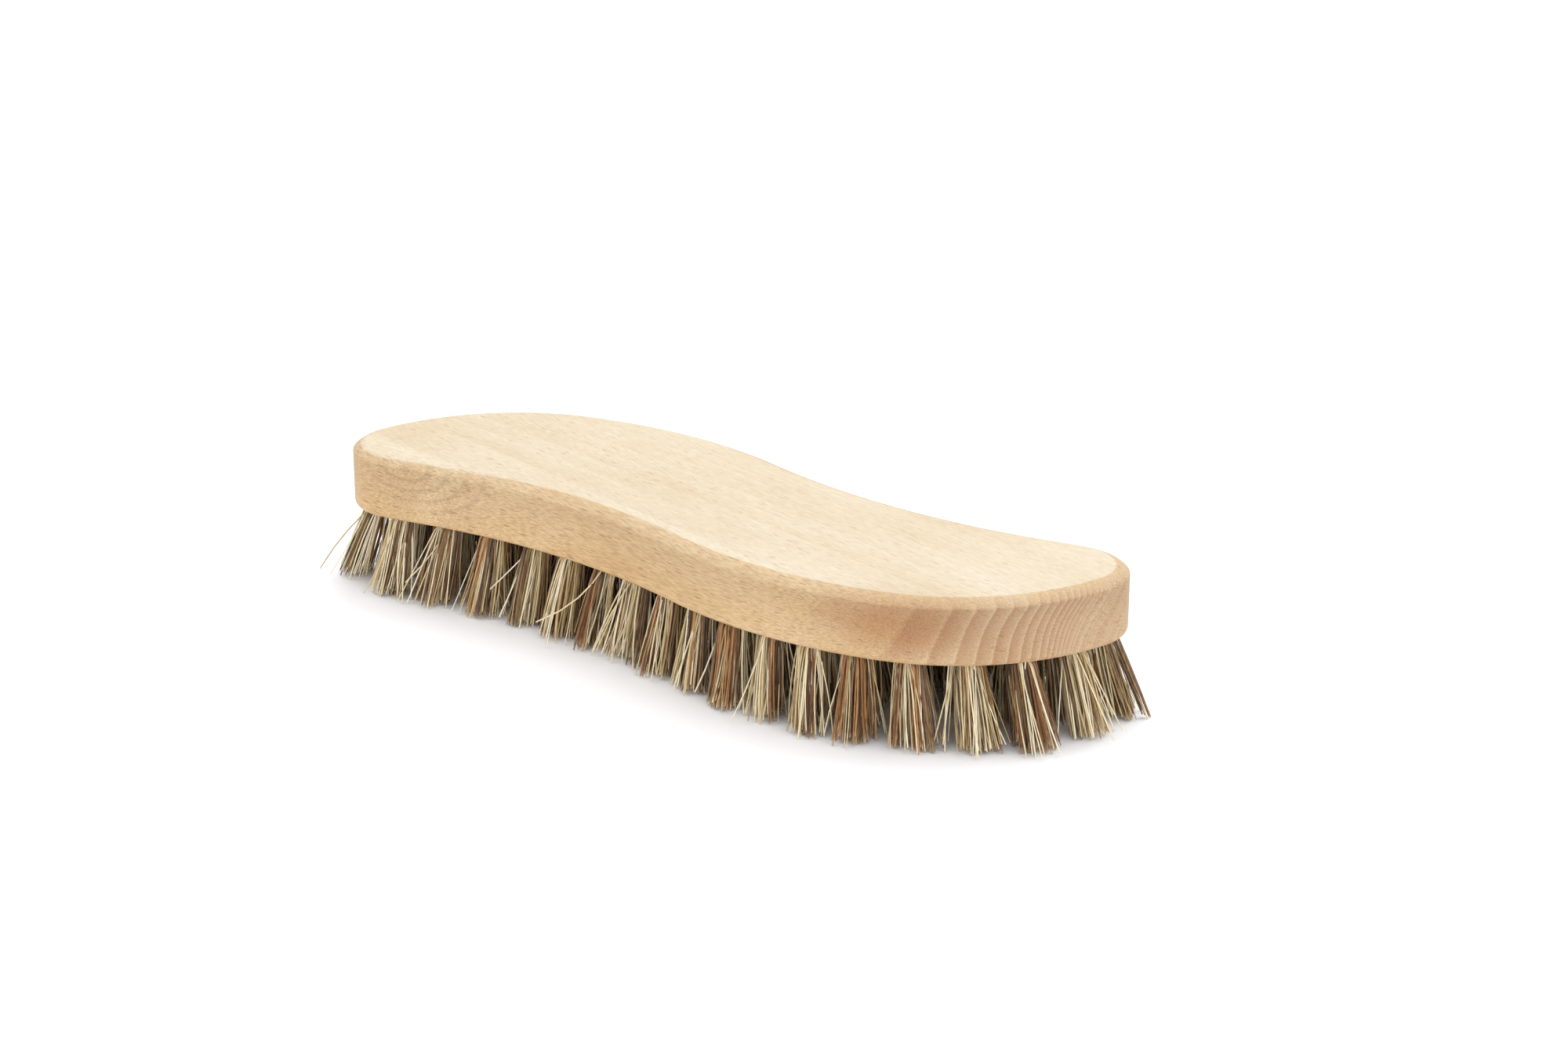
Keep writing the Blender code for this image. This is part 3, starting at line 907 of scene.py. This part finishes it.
def tuft_points(tufts):
    """Root points of all tufts, each with its lean, spread and number of strands of each kind."""
    chance = random.Random(TUFT_SEED)
    sway = random.Random(SWAY_SEED)
    counts = {kind: [] for kind in FIBRE_KINDS}
    spots = []
    leans = []
    sags = []
    spreads = []
    for number, (root, lean) in enumerate(tufts):
        full = number < OUTER_TUFTS + 2 * len(END_TUFTS)
        total = chance.randint(*(OUTER_STRANDS if full else INNER_STRANDS))
        mix = [chance.uniform(low, high) for low, high in OTHER_MIXES]
        place = (number - FIRST_NEAR_TUFT) % OUTER_TUFTS
        if number < OUTER_TUFTS and place < len(NEAR_MIXES):
            mix = NEAR_MIXES[place]
        for kind, part in zip(FIBRE_KINDS, (*mix, 1.0 - sum(mix))):
            counts[kind].append(round(total * part))
        spots.append((root.x, root.y, UNDERSIDE))
        sway_x = sway.uniform(-SWAY_ALONG, SWAY_ALONG)
        sway_y = sway.uniform(-SWAY_ACROSS, SWAY_ACROSS)
        leans.append((lean.x + sway_x, lean.y + sway_y, 0.0))
        sags.append((0.0, 0.0, 0.0))
        widest = OUTER_SPREAD if number < OUTER_TUFTS else INNER_SPREAD
        spreads.append(chance.uniform(*(share * widest for share in SPREAD_SHARES)))
    for only, number, offset, lean, sag in STRAYS:
        for kind in FIBRE_KINDS:
            counts[kind].append(1 if kind == only else 0)
        root = tufts[number][0] + Vector(offset)
        spots.append((root.x, root.y, UNDERSIDE))
        leans.append(lean)
        sags.append(sag)
        spreads.append(0.0)
    return points_object("tuft_roots", spots, (
        ("tuft", "INT", range(len(spots))), ("lean", "FLOAT_VECTOR", leans),
        ("sag", "FLOAT_VECTOR", sags), ("spread", "FLOAT", spreads),
        *[(kind, "INT", counts[kind]) for kind in FIBRE_KINDS],
    ))


def build_strands(roots, tree, kind, habit, fibre):
    """All strands of one kind, as one piece that keeps only its tone and place along a strand."""
    mesh = run_tree(roots, tree, {
        "Kind": kind, "Free length": UNDERSIDE - TIP_CLEARANCE, "Fibre": fibre, **habit,
    })
    mesh.name = kind + "_strands"
    for label in ("root", "way", "fan", "bow", "girth", "inside", "lean", "sag", "spread", "tuft",
                  *FIBRE_KINDS):
        if label in mesh.attributes:
            mesh.attributes.remove(mesh.attributes[label])
    return add_object(mesh.name, mesh)


# The studio

def aim(thing, target):
    """Turn a light to shine on a point."""
    away = thing.location - Vector(target)
    thing.rotation_euler = away.to_track_quat("Z", "Y").to_euler()


def soft_light(name, place, target, width, height, power):
    """A large softbox that points at the brush."""
    lamp = bpy.data.lights.new(name, "AREA")
    lamp.shape = "RECTANGLE"
    lamp.size = width
    lamp.size_y = height
    lamp.energy = power
    made = bpy.data.objects.new(name, lamp)
    made.location = place
    bpy.context.scene.collection.objects.link(made)
    aim(made, target)


def white_room(strength):
    """Even light from all round, as in a white room, and white behind the floor."""
    world = bpy.data.worlds.new("white_room")
    world.use_nodes = True
    tree = world.node_tree
    path = add_node(tree, "ShaderNodeLightPath")
    seen = mapped(tree, path.outputs["Is Camera Ray"], 0.0, 1.0, strength, 1.0)
    background = tree.nodes["Background"]
    background.inputs["Color"].default_value = linear("#FFFFFF")
    tree.links.new(seen, background.inputs["Strength"])
    bpy.context.scene.world = world


def photo_camera():
    """Camera where the photograph was taken from: above the near right, looking down 22 degrees."""
    roll = 0.004
    lens = bpy.data.cameras.new("photo_camera")
    lens.lens = 86.4
    lens.sensor_width = 36.0
    made = bpy.data.objects.new("photo_camera", lens)
    made.location = (0.58085, -0.74084, 0.41735)
    made.rotation_euler = (math.radians(67.884), 0.0, math.radians(37.149))
    made.rotation_euler.rotate_axis("Z", roll)
    bpy.context.scene.collection.objects.link(made)
    bpy.context.scene.camera = made


def paper_floor():
    """The sheet of paper under the brush."""
    reach = 4.0
    plan = ((-reach, -reach), (reach, -reach), (reach, reach), (-reach, reach))
    mesh = bpy.data.meshes.new("paper_floor")
    mesh.from_pydata([(x, y, 0.0) for x, y in plan], [], [(0, 1, 2, 3)])
    mesh.materials.append(plain_paper())
    add_object("paper_floor", mesh)


# The brush in its place

photo_camera()
paper_floor()
white_room(strength=0.92)
soft_light("overhead_softbox", (0.06, 0.50, 1.2), (0.0, 0.0, 0.0), 1.4, 1.4, 12.0)
soft_light("left_fill", (-0.86, -1.02, 0.7), (0.0, 0.0, 0.02), 1.0, 0.8, 4.0)
soft_light("right_fill", (1.4, -0.6, 0.6), (0.0, 0.0, 0.02), 1.0, 0.8, 4.0)
bpy.context.scene.view_settings.view_transform = "Standard"

tufts = outer_tufts() + inner_tufts()

block = build_block([root for root, _ in tufts], beech_planed_and_sanded())
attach(block, "root")
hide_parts("beech_block")

tampico = dressed_fibre(
    "tampico_fibre_combed", [(0.0, "#D2BD92"), (0.5, "#EBDBB5"), (1.0, "#FAF0D8")], 0.40
)
istle = dressed_fibre(
    "tampico_fibre_unbleached", [(0.0, "#A08657"), (0.5, "#C0A572"), (1.0, "#DCC898")], 0.42
)
palmyra = dressed_fibre(
    "palmyra_fibre_combed", [(0.0, "#5E3B22"), (0.5, "#92633A"), (1.0, "#C2935A")], 0.40
)
bassine = dressed_fibre(
    "bassine_fibre_combed", [(0.0, "#4A3422"), (0.5, "#725539"), (1.0, "#A2835A")], 0.36
)
tuft_roots = tuft_points(tufts)
strands_from_holes = strand_tree()
tuft_nodes = [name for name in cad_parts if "tuft" in name]
# Cream strands stray singly over the rest; the darker and stiffer a kind, the closer its locks lie
for kind, fibre, habit in (
    ("cream", tampico, {"Thin": 0.00016, "Thick": 0.00027, "Seed": 11, "Lock": 3,
                        "Lock size": 0.22, "Wander": 0.0014, "Stray": 0.0018, "Bend": 0.0007}),
    ("straw", istle, {"Thin": 0.00016, "Thick": 0.00027, "Seed": 23, "Lock": 5,
                      "Lock size": 0.22, "Wander": 0.0013, "Stray": 0.0011, "Bend": 0.0006}),
    ("russet", palmyra, {"Thin": 0.00018, "Thick": 0.00035, "Seed": 37, "Lock": 6,
                         "Lock size": 0.18, "Wander": 0.0012, "Stray": 0.0007, "Bend": 0.0005}),
    ("umber", bassine, {"Thin": 0.00020, "Thick": 0.00038, "Seed": 53, "Lock": 8,
                        "Lock size": 0.22, "Wander": 0.0012, "Stray": 0.0006, "Bend": 0.0004}),
):
    strands = build_strands(tuft_roots, strands_from_holes, kind, habit, fibre)
    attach(strands, "root")
    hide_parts(*tuft_nodes)
bpy.data.objects.remove(tuft_roots)
